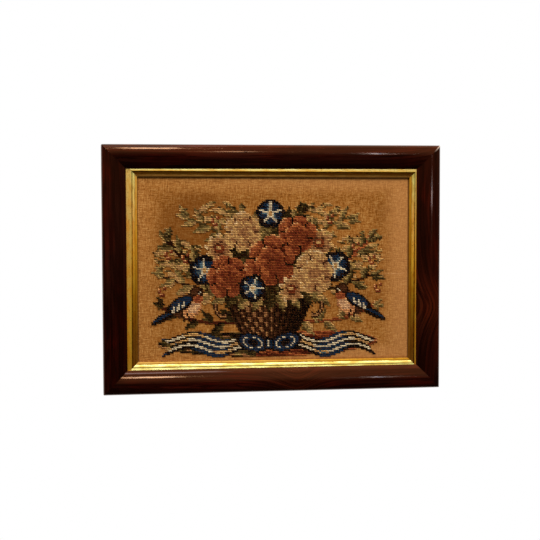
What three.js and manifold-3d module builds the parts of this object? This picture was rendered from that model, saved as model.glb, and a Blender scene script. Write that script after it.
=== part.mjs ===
// A framed woolwork picture: linen canvas stitched in wool, behind a gilt slip, in a
// convex rosewood frame with mitred corners, closed by a plain back board.
//
// Millimetres. X runs to the right as the picture is seen, Z is up and the front faces -Y.
// The wall is the plane y = 0, and a height below is a distance in front of the wall, so a
// height h lies at y = -h. The origin is the middle of the top rail's back face.

import * as THREE from 'three';
import { mergeVertices } from 'three/addons/utils/BufferGeometryUtils.js';
import Module from 'manifold-3d';

const wasm = await Module();
wasm.setup();

// ---- driving dimensions -------------------------------------------------------------

const clearance = 0.3;                          // between pieces that touch

const frame = {
  width: 410,
  height: 297,
  railWidth: 29,
  crestAt: 11.7,                                // highest line, from the outer edge
  crestHeight: 23,
  faceRadius: 25,                               // of the convex face
  edgeRadius: 5.2,                              // where the face turns into the outer side
  lipThickness: 1.5,
  rebateWidth: 8,
};

const slip = {
  openingWidth: 331.5,
  openingHeight: 221.4,
  faceWidth: 14.4,
  thickness: 6,
  beadWidth: 7.8,                               // flat bead next to the rails
  beadShoulder: 0.3,                            // how far the bead's edges drop
  grooveWidth: 1.0,
  grooveDepth: 1.1,
  coveWidth: 2.9,
  coveFoot: 2.4,                                // height of the cove's foot above the back
  coveBend: { across: 0.4, down: 0.65 },        // where its curve bends, as shares
  sightBandRise: 0.12,                          // crown of the narrow band at the sight edge
  shiftX: 2.35,                                 // it lies a little to one side in the rebate
  shiftZ: -0.7,
  turn: 0.004,                                  // and a little out of square, in radians
};

const canvas = {
  width: 366,
  height: 253,
  thickness: 1.2,
  pileHeight: 1.1,                              // of the wool stitches on the linen
  designX: -5,                                  // middle of the stitched design
  designZ: -9,
};
const board = { width: 366, height: 253, thickness: 4 };

// ---- heights in front of the wall, worked out from the sizes above -------------------

// the convex face is an arc about this height, and so is its rounded outer edge
const faceMiddle = frame.crestHeight - frame.faceRadius;
const edgeMiddle = faceMiddle + Math.sqrt(
  (frame.faceRadius - frame.edgeRadius) ** 2 - (frame.crestAt - frame.edgeRadius) ** 2);
const lipHeight = faceMiddle + Math.sqrt(
  frame.faceRadius ** 2 - (frame.railWidth - frame.crestAt) ** 2);
const lipUnderside = lipHeight - frame.lipThickness;
const slipFront = lipUnderside - clearance;
const slipBack = slipFront - slip.thickness;
const canvasFront = slipBack - clearance;
const canvasBack = canvasFront - canvas.thickness;
const boardFront = canvasBack - clearance;
const boardBack = boardFront - board.thickness;

// the origin is the middle of the top rail's back face, above the picture's centre
const backFaceWidth = frame.railWidth - frame.rebateWidth;
const centreZ = -(frame.height - backFaceWidth) / 2;

// ---- materials ----------------------------------------------------------------------

function finish(color, roughness, metalness = 0) {
  return new THREE.MeshStandardMaterial({ color, roughness, metalness });
}

const rosewood = finish(0x3a160c, 0.25);
const gilt = finish(0xc89a4a, 0.35, 0.8);
const linen = finish(0xb0763e, 0.95);
const deal = finish(0xa98558, 0.8);

// ---- mouldings ----------------------------------------------------------------------

// A profile is drawn with x inwards from the outer edge and y forward from the wall.
function railProfile() {
  const { railWidth, rebateWidth, crestAt, faceRadius, edgeRadius } = frame;
  const rebateAt = railWidth - rebateWidth;
  const joinAngle = Math.atan2(edgeMiddle - faceMiddle, edgeRadius - crestAt);
  const lipAngle = Math.acos((railWidth - crestAt) / faceRadius);
  const outline = new THREE.Shape();
  outline.moveTo(0, 0);
  outline.lineTo(0, edgeMiddle);
  outline.absarc(edgeRadius, edgeMiddle, edgeRadius, Math.PI, joinAngle, true);
  outline.absarc(crestAt, faceMiddle, faceRadius, joinAngle, lipAngle, true);
  outline.lineTo(railWidth, lipUnderside);
  outline.lineTo(rebateAt, lipUnderside);
  outline.lineTo(rebateAt, 0);
  outline.closePath();
  return outline;
}

function slipProfile() {
  const shoulder = slipFront - slip.beadShoulder;
  const grooveAt = slip.beadWidth;
  const coveAt = grooveAt + slip.grooveWidth;
  const grooveFloor = slipFront - slip.grooveDepth;
  const coveFoot = slipBack + slip.coveFoot;
  const bendAt = coveAt + slip.coveBend.across * slip.coveWidth;
  const bendHeight = grooveFloor - slip.coveBend.down * (grooveFloor - coveFoot);
  const sightBandAt = coveAt + slip.coveWidth;
  const sightBandMiddle = (sightBandAt + slip.faceWidth) / 2;
  const sightBandTop = coveFoot + 2 * slip.sightBandRise;
  const outline = new THREE.Shape();
  outline.moveTo(0, slipBack);
  outline.lineTo(0, shoulder);
  outline.quadraticCurveTo(grooveAt / 2, slipFront + slip.beadShoulder, grooveAt, shoulder);
  outline.lineTo(grooveAt, grooveFloor);
  outline.lineTo(coveAt, grooveFloor);
  outline.quadraticCurveTo(bendAt, bendHeight, sightBandAt, coveFoot);
  outline.quadraticCurveTo(sightBandMiddle, sightBandTop, slip.faceWidth, coveFoot);
  outline.lineTo(slip.faceWidth, slipBack);
  outline.closePath();
  return outline;
}

// A length of moulding with its ends cut at 45 degrees, lying along X as a top rail does:
// its outer edge at z = 0, the rest below it, the front towards -Y.
function mitredLength(profile, outerLength) {
  const geometry = new THREE.ExtrudeGeometry(profile, {
    depth: 1, steps: 1, curveSegments: 10, bevelEnabled: false,
  });
  const halfGap = clearance * Math.SQRT1_2;     // half the gap, measured along the rail
  const place = geometry.getAttribute('position');
  for (let i = 0; i < place.count; i++) {
    const inwards = place.getX(i);
    const forward = place.getY(i);
    const end = place.getZ(i) > 0.5 ? -1 : 1;
    place.setXYZ(i, end * (outerLength / 2 - inwards - halfGap), -forward, -inwards);
  }
  geometry.computeVertexNormals();
  return geometry;
}

// Four lengths round a rectangle, each turned about Y and moved out to its own side.
function mitredFrame(name, profile, width, height, material) {
  const sides = [
    { side: 'top', length: width, x: 0, z: height / 2, turn: 0 },
    { side: 'bottom', length: width, x: 0, z: -height / 2, turn: Math.PI },
    { side: 'left', length: height, x: -width / 2, z: 0, turn: -Math.PI / 2 },
    { side: 'right', length: height, x: width / 2, z: 0, turn: Math.PI / 2 },
  ];
  const group = new THREE.Group();
  for (const { side, length, x, z, turn } of sides) {
    const rail = new THREE.Mesh(mitredLength(profile, length), material);
    rail.name = `${name}_${side}`;
    rail.position.set(x, 0, z);
    rail.rotation.y = turn;
    group.add(rail);
  }
  return group;
}

// ---- canvas -------------------------------------------------------------------------

// The stitched field stands proud of the bare linen: a basket of flowers on a mound, with
// leafy sprays and a bird at each side. These are the large shapes of its outline: middles
// and half sizes from the middle of the design, and a turn in degrees.
const stitchedShapes = [
  { what: 'flowers', x: 0, z: 35, halfWidth: 100, halfHeight: 60, turn: 0 },
  { what: 'left spray', x: -98, z: 38, halfWidth: 52, halfHeight: 38, turn: -30 },
  { what: 'right spray', x: 98, z: 38, halfWidth: 52, halfHeight: 38, turn: 30 },
  { what: 'basket', x: 0, z: -46, halfWidth: 62, halfHeight: 36, turn: 0 },
  { what: 'left bird', x: -102, z: -38, halfWidth: 40, halfHeight: 24, turn: 25 },
  { what: 'right bird', x: 104, z: -38, halfWidth: 40, halfHeight: 24, turn: -25 },
  { what: 'mound and ribbon', x: 0, z: -81, halfWidth: 134, halfHeight: 14, turn: 0 },
];

function solidOf(geometry) {
  const bare = geometry.clone();
  bare.deleteAttribute('normal');
  bare.deleteAttribute('uv');
  const merged = mergeVertices(bare, 1e-4);
  return new wasm.Manifold(new wasm.Mesh({
    numProp: 3,
    vertProperties: new Float32Array(merged.getAttribute('position').array),
    triVerts: new Uint32Array(merged.getIndex().array),
  }));
}

function geometryOf(solid) {
  const mesh = solid.getMesh();
  const geometry = new THREE.BufferGeometry();
  geometry.setAttribute('position', new THREE.BufferAttribute(mesh.vertProperties, 3));
  geometry.setIndex(new THREE.BufferAttribute(mesh.triVerts, 1));
  geometry.computeVertexNormals();
  return geometry;
}

// One patch of stitching, from the middle of the linen's thickness to the wool's top.
function stitchedPatch({ x, z, halfWidth, halfHeight, turn }) {
  const outline = new THREE.Shape();
  outline.absellipse(0, 0, halfWidth, halfHeight, 0, 2 * Math.PI, false);
  const patch = new THREE.ExtrudeGeometry(outline, {
    depth: canvas.thickness / 2 + canvas.pileHeight, steps: 1, curveSegments: 18,
    bevelEnabled: false,
  });
  patch.rotateZ(THREE.MathUtils.degToRad(turn));
  patch.rotateX(Math.PI / 2);
  patch.translate(canvas.designX + x, canvas.thickness / 2 - canvasFront, canvas.designZ + z);
  return patch;
}

function stitchedCanvas() {
  const sheet = new THREE.BoxGeometry(canvas.width, canvas.thickness, canvas.height);
  sheet.translate(0, -(canvasFront + canvasBack) / 2, 0);
  let cloth = solidOf(sheet);
  for (const shape of stitchedShapes) {
    cloth = cloth.add(solidOf(stitchedPatch(shape)));
  }
  const piece = new THREE.Mesh(geometryOf(cloth), linen);
  piece.name = 'canvas';
  return piece;
}

// ---- back board ---------------------------------------------------------------------

function backBoard() {
  const piece = new THREE.Mesh(
    new THREE.BoxGeometry(board.width, board.thickness, board.height), deal);
  piece.name = 'backboard';
  piece.position.y = -(boardFront + boardBack) / 2;
  return piece;
}

// ---- the picture --------------------------------------------------------------------

const rails = mitredFrame('rail', railProfile(), frame.width, frame.height, rosewood);

const slipWidth = slip.openingWidth + 2 * slip.faceWidth;
const slipHeight = slip.openingHeight + 2 * slip.faceWidth;
const slips = mitredFrame('slip', slipProfile(), slipWidth, slipHeight, gilt);
slips.position.set(slip.shiftX, 0, slip.shiftZ);
slips.rotation.y = slip.turn;

const picture = new THREE.Group();
picture.add(rails, slips, stitchedCanvas(), backBoard());
picture.position.z = centreZ;

export default picture;
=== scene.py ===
import math
import random

import bmesh
import bpy
import numpy as np
from mathutils import Euler, Matrix, Vector, noise


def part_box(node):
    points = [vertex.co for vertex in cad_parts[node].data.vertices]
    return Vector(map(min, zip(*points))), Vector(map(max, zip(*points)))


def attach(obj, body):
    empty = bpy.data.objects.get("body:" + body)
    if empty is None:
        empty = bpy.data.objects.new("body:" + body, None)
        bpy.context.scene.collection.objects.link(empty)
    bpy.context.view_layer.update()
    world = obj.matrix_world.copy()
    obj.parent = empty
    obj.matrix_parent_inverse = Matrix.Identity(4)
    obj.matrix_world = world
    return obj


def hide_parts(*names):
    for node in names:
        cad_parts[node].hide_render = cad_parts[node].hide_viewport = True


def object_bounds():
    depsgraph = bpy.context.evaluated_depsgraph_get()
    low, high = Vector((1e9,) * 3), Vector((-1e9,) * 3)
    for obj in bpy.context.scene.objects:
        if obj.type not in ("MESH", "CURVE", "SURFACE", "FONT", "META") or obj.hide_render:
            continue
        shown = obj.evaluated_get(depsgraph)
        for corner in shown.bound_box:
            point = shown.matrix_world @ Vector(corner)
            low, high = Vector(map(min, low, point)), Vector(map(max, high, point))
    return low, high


# A framed woolwork picture: rosewood rails, a gilt slip, linen worked in cross-stitch.
# Metres; X to the right as it is seen, Z up, the wall at y = 0 and the front towards -Y.
# A height is a distance in front of the wall, so a height h lies at y = -h.

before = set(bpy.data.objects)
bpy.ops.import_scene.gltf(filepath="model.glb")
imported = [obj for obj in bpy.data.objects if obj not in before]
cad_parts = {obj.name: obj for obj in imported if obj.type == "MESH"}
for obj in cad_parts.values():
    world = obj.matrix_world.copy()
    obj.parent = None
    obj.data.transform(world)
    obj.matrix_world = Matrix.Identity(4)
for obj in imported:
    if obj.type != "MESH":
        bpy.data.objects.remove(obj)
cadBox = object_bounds()
scene = bpy.context.scene
scene.view_settings.view_transform = "Standard"

pictureWidth = cadBox[1].x - cadBox[0].x
pictureHeight = cadBox[1].z - cadBox[0].z
pictureMiddle = Vector((0, 0, (cadBox[0].z + cadBox[1].z) / 2))
mm = 0.001

# Camera

cameraSetup = {
    "aside": -0.209,        # from the picture's middle
    "inFront": 1.443,       # of the wall
    "above": 0.078,
    "turn": 8.14,           # degrees to the right
    "tilt": -3.16,
    "roll": -0.15,
    "lens": 80,
    "sensor": 36,
}


def addCamera(setup):
    data = bpy.data.cameras.new("camera")
    data.lens = setup["lens"]
    data.sensor_width = setup["sensor"]
    camera = bpy.data.objects.new("camera", data)
    scene.collection.objects.link(camera)
    aim = Euler((math.radians(90 + setup["tilt"]), 0, -math.radians(setup["turn"])))
    turned = aim.to_matrix() @ Matrix.Rotation(math.radians(setup["roll"]), 3, "Z")
    place = pictureMiddle + Vector((setup["aside"], -setup["inFront"], setup["above"]))
    camera.matrix_world = Matrix.Translation(place) @ turned.to_4x4()
    scene.camera = camera


# Shader helpers


def linear(code):  # a colour written "c89a4a"
    parts = [int(code[k:k + 2], 16) / 255 for k in (0, 2, 4)]
    return tuple(c / 12.92 if c < 0.04045 else ((c + 0.055) / 1.055) ** 2.4 for c in parts) + (1,)


def fillSockets(sockets, values):  # each with a link, a colour code or a value
    for name, value in values.items():
        if isinstance(value, bpy.types.NodeSocket):
            value.id_data.links.new(value, sockets[name])
        else:
            sockets[name].default_value = linear(value) if isinstance(value, str) else value


def addNode(tree, kind, values=None, **settings):
    node = tree.nodes.new("ShaderNode" + kind)
    for name, value in settings.items():
        setattr(node, name, value)
    fillSockets(node.inputs, values or {})
    return node


def workOn(kind, values, **settings):  # a node beside the ones whose sockets it reads
    tree = next(value.id_data for value in values.values()
                if isinstance(value, bpy.types.NodeSocket))
    return addNode(tree, kind, values, **settings)


def addMath(operation, *values):
    return workOn("Math", dict(enumerate(values)), operation=operation).outputs[0]


def plus(first, second):
    return addMath("ADD", first, second)


def minus(first, second):
    return addMath("SUBTRACT", first, second)


def times(first, second):
    return addMath("MULTIPLY", first, second)


def larger(first, second):
    return addMath("MAXIMUM", first, second)


def apart(first, second):  # how far two values lie from each other
    return addMath("ABSOLUTE", minus(first, second))


def split(vector):
    return workOn("SeparateXYZ", {0: vector}).outputs


def join(x, y, z=0.0):
    return workOn("CombineXYZ", {0: x, 1: y, 2: z}).outputs[0]


def readMap(tree, name):
    return addNode(tree, "UVMap", uv_map=name).outputs["UV"]


def readAttribute(tree, name):
    return addNode(tree, "Attribute", attribute_name=name).outputs["Fac"]


def addRamp(value, stops):  # stops of colour codes or of greys
    ramp = workOn("ValToRGB", {"Fac": value})
    marks = ramp.color_ramp.elements
    while len(marks) < len(stops):
        marks.new(0.5)
    for mark, (position, colour) in zip(marks, stops):
        mark.position = position
        mark.color = linear(colour) if isinstance(colour, str) else (colour, colour, colour, 1)
    return ramp.outputs["Color"]


def addMix(amount, first, second, blend="MIX"):
    return workOn("Mix", {0: amount, 6: first, 7: second}, data_type="RGBA",
                  blend_type=blend).outputs[2]


def addTint(colour, tint, amount, strength=1.0):  # a tint laid over a colour
    return addMix(amount if strength == 1 else times(amount, strength), colour, tint)


def addRange(value, low, high, toLow=0.0, toHigh=1.0, smooth=True):
    place = {"Value": value, "From Min": low, "From Max": high, "To Min": toLow, "To Max": toHigh}
    kind = "SMOOTHSTEP" if smooth else "LINEAR"
    return workOn("MapRange", place, interpolation_type=kind).outputs["Result"]


def addTexture(place, **settings):
    return workOn("TexNoise", {"Vector": place, "Scale": 1.0, **settings}).outputs


def addNoise(place, stretch, detail=4.0, roughness=0.55, seed=0.0):
    moved = workOn("Mapping", {"Vector": place, "Scale": stretch,
                               "Location": (seed * 3.7, seed * 1.9, seed)}).outputs[0]
    return addTexture(moved, Detail=detail, Roughness=roughness)["Fac"]


def addPatches(place, stretch, low, high, toLow=0.0, toHigh=1.0, **settings):
    return addRange(addNoise(place, stretch, **settings), low, high, toLow, toHigh)


def addBump(height, strength, distance):
    return workOn("Bump", {"Height": height, "Strength": strength,
                           "Distance": distance}).outputs["Normal"]


# A shader group from the names and starting values of its inputs and the names of its outputs.
def newGroup(name, inputs, outputs):
    group = bpy.data.node_groups.new(name, "ShaderNodeTree")
    for label, value in inputs.items():
        kind = "NodeSocketVector" if value is None else "NodeSocketFloat"
        socket = group.interface.new_socket(name=label, in_out="INPUT", socket_type=kind)
        if value is not None:
            socket.default_value = value
    for label in outputs:
        group.interface.new_socket(name=label, in_out="OUTPUT", socket_type="NodeSocketFloat")
    return group, group.nodes.new("NodeGroupInput").outputs, group.nodes.new("NodeGroupOutput").inputs


def useGroup(group, values):
    return workOn("Group", values, node_tree=group).outputs


def newMaterial(name, **constants):
    material = bpy.data.materials.new(name)
    material.use_nodes = True
    shader = material.node_tree.nodes["Principled BSDF"]
    plug(shader, **constants)
    return material, material.node_tree, shader


def plug(shader, **values):
    fillSockets(shader.inputs, {label.replace("_", " "): values[label] for label in values})


# Mesh helpers


def moveAll(bm, move):
    bmesh.ops.translate(bm, verts=bm.verts[:], vec=move)


def stretchAll(bm, stretch):
    bmesh.ops.scale(bm, verts=bm.verts[:], vec=stretch)


def faceOutwards(bm):
    bmesh.ops.recalc_face_normals(bm, faces=bm.faces[:])


def writeMap(bm, name, uvOf):  # a UV map, worked out for each corner of a face
    layer = bm.loops.layers.uv.new(name)
    for face in bm.faces:
        for loop in face.loops:
            loop[layer].uv = uvOf(loop)


def finishPiece(name, bm, materials, sharpAngle=35):
    for face in bm.faces:
        face.smooth = True
    for edge in bm.edges:
        edge.smooth = edge.calc_face_angle(0) < math.radians(sharpAngle)
    mesh = bpy.data.meshes.new(name)
    bm.to_mesh(mesh)
    bm.free()
    piece = bpy.data.objects.new(name, mesh)
    scene.collection.objects.link(piece)
    for material in materials:
        mesh.materials.append(material)
    return piece


def standFor(piece, nodes):
    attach(piece, "root")
    if nodes:
        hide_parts(*nodes)


def smoothStep(value):
    value = min(1, max(0, value))
    return value * value * (3 - 2 * value)


# Mouldings

sideTurns = {"top": 0, "bottom": 180, "left": -90, "right": 90}  # degrees about Y


# A length of moulding as a top rail lies: its outer edge at z = 0, the rest below it. The
# section is a closed loop of vertices at x = 0, and both ends are cut to a mitre.
def mitredLength(bm, length, steps, gap):
    section = bm.faces.new(bm.verts[:])
    moveAll(bm, (-length / 2, 0, 0))
    drawn = bmesh.ops.extrude_face_region(bm, geom=[section])["geom"]
    moved = [part for part in drawn if isinstance(part, bmesh.types.BMVert)]
    bmesh.ops.translate(bm, verts=moved, vec=(length, 0, 0))
    lengthwise = [edge for edge in bm.edges if edge.calc_length() > 0.9 * length]
    bmesh.ops.subdivide_edges(bm, edges=lengthwise, cuts=steps - 1, use_grid_fill=False)
    for end in (-1, 1):
        cutAt = Vector((end * (length / 2 - gap * math.sqrt(0.5)), 0, 0))
        cutEnd(bm, cutAt, Vector((end, 0, -1)))


def cutEnd(bm, place, facing):
    everything = bm.verts[:] + bm.edges[:] + bm.faces[:]
    cut = bmesh.ops.bisect_plane(bm, geom=everything, dist=1e-7, plane_co=place,
                                 plane_no=facing.normalized(), clear_outer=True)["geom_cut"]
    rim = [part for part in cut if isinstance(part, bmesh.types.BMEdge)]
    bmesh.ops.holes_fill(bm, edges=rim, sides=0)


def placeLength(bm, side, width, height, middle, turn=0.0):
    outwards = {"top": (0, height), "bottom": (0, -height), "left": (-width, 0), "right": (width, 0)}
    x, z = outwards[side]
    ownTurn = Matrix.Rotation(math.radians(sideTurns[side]), 4, "Y")
    wholeTurn = Matrix.Translation(middle) @ Matrix.Rotation(turn, 4, "Y")
    toSide = Matrix.Translation((x / 2, 0, z / 2))
    bmesh.ops.transform(bm, matrix=wholeTurn @ toSide @ ownTurn, verts=bm.verts[:])


# Rails

railSizes = {
    "crestAt": 11.7 * mm,           # highest line, from the outer edge
    "faceRadius": 25 * mm,
    "edgeRadius": 5.2 * mm,         # where the face turns into the outer side
    "lipThickness": 1.5 * mm,
    "rebateWidth": 8 * mm,
    "faceSteps": 28,
    "edgeSteps": 9,
    "lengthSteps": 48,
    "arris": 0.7 * mm,              # rounding along the edges
    "cornerRadius": 2.2 * mm,       # of the frame's outer corners, seen from the front
    "jointGap": 0.04 * mm,
    "arrisTurn": 30,                # degrees; sharper edges than this are arrises
    "arrisFrom": 2 * mm,            # in front of the wall
    "cornerFlats": (12, 30, 42),    # degrees; they make up its round
    "unevenness": 0.07 * mm,        # of the scraped and polished face
    "waves": (22, 60),              # to a metre, along and across
    "stockShift": 0.83,             # from one rail to the next along the stock
    "filledEnds": {"top": [1], "right": [-1]},  # mitres where old filler shows
}


def railSection(bm, sizes, railWidth, crestHeight):
    radius, edgeRadius, crestAt = sizes["faceRadius"], sizes["edgeRadius"], sizes["crestAt"]
    joinAngle = math.asin((crestAt - edgeRadius) / (radius - edgeRadius))
    lipAngle = math.asin((railWidth - crestAt) / radius)
    faceMiddle = Vector((0, radius - crestHeight, -crestAt))
    edgeMiddle = Vector((0, faceMiddle.y - (radius - edgeRadius) * math.cos(joinAngle), -edgeRadius))
    start = bm.verts.new((0, edgeMiddle.y, 0))
    edge = bmesh.ops.spin(bm, geom=[start], cent=edgeMiddle, axis=(1, 0, 0),
                          angle=math.pi / 2 - joinAngle, steps=sizes["edgeSteps"])
    bmesh.ops.spin(bm, geom=edge["geom_last"], cent=faceMiddle, axis=(1, 0, 0),
                   angle=joinAngle + lipAngle, steps=sizes["faceSteps"])
    lipUnderside = radius * math.cos(lipAngle) - faceMiddle.y - sizes["lipThickness"]
    rebateAt = railWidth - sizes["rebateWidth"]
    for inwards, height in ((railWidth, lipUnderside), (rebateAt, lipUnderside), (rebateAt, 0), (0, 0)):
        bm.verts.new((0, -height, -inwards))
    return faceMiddle


# UV "grain": along the rail and round its face. UV "ends": the distance to each mitre.
def railMaps(bm, length, faceMiddle, sizes, shift, filledEnds):
    def alongGrain(loop):
        x, y, z = loop.vert.co
        around = math.atan2(faceMiddle.z - z, faceMiddle.y - y) * sizes["faceRadius"]
        if loop.face.normal.y > 0.5:  # the back and the rebate
            around = 0.1 - z
        elif loop.face.normal.z < -0.95:
            around = 0.06 + y
        return x + shift, around

    def toMitres(loop):
        x, z = loop.vert.co.xz
        return [length / 2 - end * x + z if end in filledEnds else 1 for end in (-1, 1)]

    writeMap(bm, "grain", alongGrain)
    writeMap(bm, "ends", toMitres)


def unevenFace(bm, sizes, seed):
    for vert in bm.verts:
        facing = max(0, -vert.normal.y)
        place = Vector((vert.co.x * sizes["waves"][0], vert.co.z * sizes["waves"][1], seed * 7.3))
        vert.co.y -= sizes["unevenness"] * facing * (noise.noise(place) - 0.35)


def buildRail(side, seed, materials):
    sizes = railSizes
    lowest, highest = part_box("rail_top")
    railWidth = highest.z - lowest.z
    length = pictureWidth if side in ("top", "bottom") else pictureHeight
    bm = bmesh.new()
    faceMiddle = railSection(bm, sizes, railWidth, -lowest.y)
    mitredLength(bm, length, sizes["lengthSteps"], sizes["jointGap"])
    faceOutwards(bm)
    radius = sizes["cornerRadius"]
    for end in (-1, 1):  # round the frame's corner with three flats
        corner = Vector((end * (length / 2 - radius), 0, -radius))
        for angle in map(math.radians, sizes["cornerFlats"]):
            away = Vector((end * math.sin(angle), 0, math.cos(angle)))
            cutEnd(bm, corner + away * radius, away)
    arrises = [edge for edge in bm.edges
               if abs((edge.verts[0].co - edge.verts[1].co).normalized().x) > 0.99
               and edge.calc_face_angle(0) > math.radians(sizes["arrisTurn"])
               and edge.verts[0].co.y < -sizes["arrisFrom"]]
    bmesh.ops.bevel(bm, geom=arrises, offset=sizes["arris"], offset_type="OFFSET", segments=3,
                    profile=0.5, affect="EDGES", material=-1, clamp_overlap=True)
    faceOutwards(bm)
    bm.normal_update()
    railMaps(bm, length, faceMiddle, sizes, seed * sizes["stockShift"],
             sizes["filledEnds"].get(side, []))
    for face in bm.faces:  # the back and the rebate are bare wood
        centre = face.calc_center_median()
        inRebate = centre.z < sizes["rebateWidth"] - railWidth and centre.y > lowest.y / 2
        face.material_index = int(face.normal.y > 0.5 or (inRebate and face.normal.z < -0.9))
    unevenFace(bm, sizes, seed)
    placeLength(bm, side, pictureWidth, pictureHeight, pictureMiddle)
    piece = finishPiece("rail-" + side, bm, materials)
    standFor(piece, ["rail_" + side])
    polishedRails[side].objects.link(piece)


polishedRails = {side: bpy.data.collections.new("polished " + side) for side in sideTurns}

rosewoodLook = {
    "nearBlack": "0c0201",
    "dark": "120301",
    "mid": "1e0502",
    "light": "3e1006",
    "glowing": "5c240e",            # about the knots
    "cool": "2a1009",
    "ruddy": "480a03",
    "worn": "6e3214",
    "filler": "c4ac98",
    "polish": "ffad7c",
    "outerEdge": -12.9 * mm,        # worn edges, from the middle of the face
    "sightEdge": 18.2 * mm,
    "outerWear": (1.0 * mm, 2.3 * mm),           # where the wear begins to fade and where it ends
    "sightWear": 1.2 * mm,
    "fillerWidth": (0.6 * mm, 1.3 * mm),
    "fillerAcross": (-10 * mm, -3 * mm),
}


# Long figure, finer streaks and short pores, from a map whose first axis runs with the grain.
def buildGrainGroup():
    group, given, result = newGroup(
        "wood grain",
        {"Along": None, "Figure": 30.0, "Streaks": 260.0, "Pores": 1500.0, "Rings": 9.0},
        ["Figure", "Streak", "Pore", "Ring"])

    def stretched(across, along, **settings):
        place = workOn("VectorMath", {0: given["Along"], 1: join(along, across, 1.0)},
                       operation="MULTIPLY").outputs[0]
        return addTexture(place, **settings)["Fac"]

    figure = stretched(given["Figure"], 4.0, Detail=3.0, Distortion=0.9)
    streak = stretched(given["Streaks"], 7.0, Detail=5.0, Roughness=0.6, Distortion=0.25)
    pore = stretched(given["Pores"], 90.0, Detail=2.0, Roughness=0.5)
    rings = plus(figure, times(streak, 0.22))
    rings = addMath("PINGPONG", times(rings, given["Rings"]), 1.0)
    fillSockets(result, {"Figure": figure, "Streak": streak, "Pore": pore, "Ring": rings})
    return group


knots = {
    "first": 1.633,                 # along the stock that the rails are cut from
    "apart": 0.5783,
    "halfWidth": 27 * mm,
    "bend": 19 * mm,                # how far the grain swings round them
}


# The grain bent round the knots, and how near a place is to one.
def bendGrain(along):
    parts = split(along)
    turns = minus(parts["X"], knots["first"])
    turns = addMath("DIVIDE", turns, knots["apart"])
    aside = minus(turns, addMath("ROUND", turns))
    aside = times(aside, knots["apart"] / knots["halfWidth"])
    near = addMath("DIVIDE", 1.0, plus(times(aside, aside), 1.0))
    across = plus(parts["Y"], times(near, knots["bend"]))
    return join(parts["X"], across), near


def rosewoodMaterial(grainGroup):
    look = rosewoodLook
    material, tree, shader = newMaterial(
        "rosewood, French polished", IOR=1.5, Specular_IOR_Level=0.75,
        Specular_Tint=look["polish"], Coat_Weight=0.15, Coat_Roughness=0.05, Coat_IOR=1.5)
    along = readMap(tree, "grain")
    across = split(along)["Y"]
    bent, nearKnot = bendGrain(along)
    grain = useGroup(grainGroup, {"Along": bent, "Figure": 55.0, "Streaks": 420.0, "Rings": 13.0})
    figure = addRamp(grain["Figure"],
                     [(0.3, look["dark"]), (0.5, look["mid"]), (0.7, look["light"])])
    for tint, stretch, seed, low, strength in (("cool", (9, 40, 1), 17, 0.42, 0.55),
                                               ("ruddy", (11, 22, 1), 31, 0.48, 0.5)):
        patches = addPatches(along, stretch, low, low + 0.2, detail=3, seed=seed)
        figure = addTint(figure, look[tint], patches, strength)
    figure = addTint(figure, look["glowing"], nearKnot, 0.28)
    figure = addTint(figure, look["nearBlack"], addRange(grain["Ring"], 0.5, 0.9), 0.6)
    lines = addRange(grain["Streak"], 0.36, 0.6, 0.3, 1.0)
    colour = addTint(look["nearBlack"], figure, lines)
    pores = addRange(grain["Pore"], 0.60, 0.72)
    colour = addTint(colour, look["nearBlack"], pores, 0.7)

    # the polish is rubbed thin along the outer and the sight edge
    outerEdge = apart(across, look["outerEdge"])
    outerEdge = addRange(outerEdge, *look["outerWear"], 1.0, 0.0)
    sightEdge = addRange(across, look["sightEdge"], look["sightEdge"] + look["sightWear"])
    rubbed = addPatches(along, (30, 260, 1), 0.5, 0.66, detail=5, seed=2)
    wear = times(larger(outerEdge, sightEdge), rubbed)
    colour = addTint(colour, look["worn"], wear, 0.6)

    # old filler shows here and there along the mitres
    ends = split(readMap(tree, "ends"))
    nearest = addMath("MINIMUM", ends["X"], ends["Y"])
    line = addRange(nearest, *look["fillerWidth"], 1.0, 0.0)
    outerPart = addRange(across, *look["fillerAcross"], 0.85, 0.0)
    colour = addTint(colour, look["filler"], times(line, outerPart))

    rough = addPatches(along, (14, 70, 1), 0.35, 0.75, 0.05, 0.1, detail=4, seed=8)
    rough = plus(rough, times(wear, 0.25))
    waves = addNoise(along, (26, 120, 1), detail=2, seed=11)
    height = plus(waves, times(pores, -0.05))
    plug(shader, Base_Color=colour, Roughness=rough, Normal=addBump(height, 0.35, 0.25 * mm))
    return material


dealLook = {"early": "a9824f", "late": "7c5530", "grime": "4a3421"}


def dealMaterial(name, grainGroup, mapName=None):
    look = dealLook
    material, tree, shader = newMaterial(name, Specular_IOR_Level=0.25)
    if mapName:
        along = readMap(tree, mapName)
    else:  # the board: its grain runs along X
        place = split(addNode(tree, "TexCoord").outputs["Object"])
        along = join(place["X"], place["Z"], place["Y"])
    grain = useGroup(grainGroup, {"Along": along, "Figure": 38.0, "Streaks": 300.0, "Pores": 1200.0})
    colour = addRamp(grain["Ring"], [(0.5, look["early"]), (1.0, look["late"])])
    dirtAndShadow = addPatches(along, (9, 14, 9), 0.42, 0.8, detail=6, roughness=0.65, seed=3)
    colour = addTint(colour, look["grime"], dirtAndShadow, 0.75)
    rough = addRange(grain["Streak"], 0.3, 0.7, 0.72, 0.88)
    height = plus(grain["Streak"], times(grain["Pore"], 0.4))
    plug(shader, Base_Color=colour, Roughness=rough, Normal=addBump(height, 0.4, 0.15 * mm))
    return material


# Gilt slip

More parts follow.
